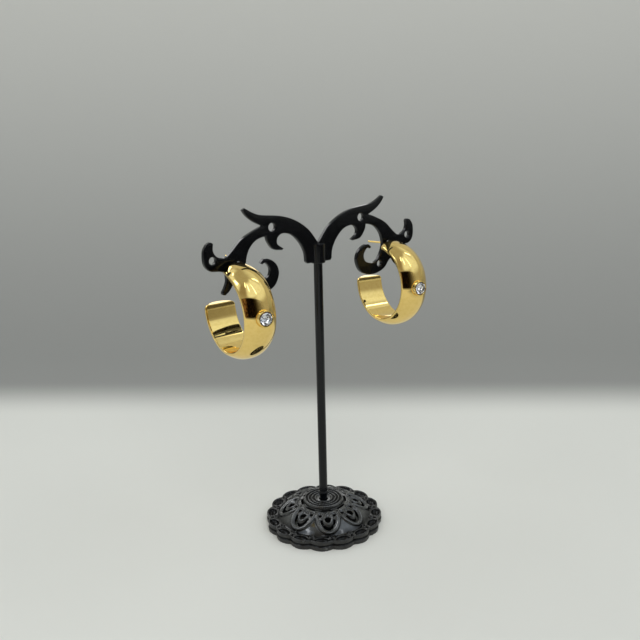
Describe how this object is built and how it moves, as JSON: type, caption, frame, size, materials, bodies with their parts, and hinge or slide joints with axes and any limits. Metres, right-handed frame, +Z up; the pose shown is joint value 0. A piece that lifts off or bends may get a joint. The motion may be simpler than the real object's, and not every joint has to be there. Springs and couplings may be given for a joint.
{
  "type": "hoop earrings on display stand",
  "caption": "Pair of domed gold C-hoop earrings with a round crystal each, hanging on a black scroll-armed display stand.",
  "frame": {"origin": "middle of the boss under the stand's foot, on the surface that it stands on", "axes": "+Z up along the rod, X along the two arms, -Y towards the front of the earrings"},
  "size_m": [0.1048, 0.0514, 0.143],
  "materials": {
    "black_casting": "satin black over cast relief, worn grey on the high edges",
    "black_paint": "gloss black",
    "gold": "mirror polished yellow gold plate",
    "crystal": "clear faceted"
  },
  "bodies": {
    "root": {"stand_foot": "black_casting", "stand_rod": "black_paint", "scroll_head": "black_paint", "hoop_left": "gold", "hoop_right": "gold", "crystal_left": "crystal", "crystal_right": "crystal"}
  },
  "joints": []
}
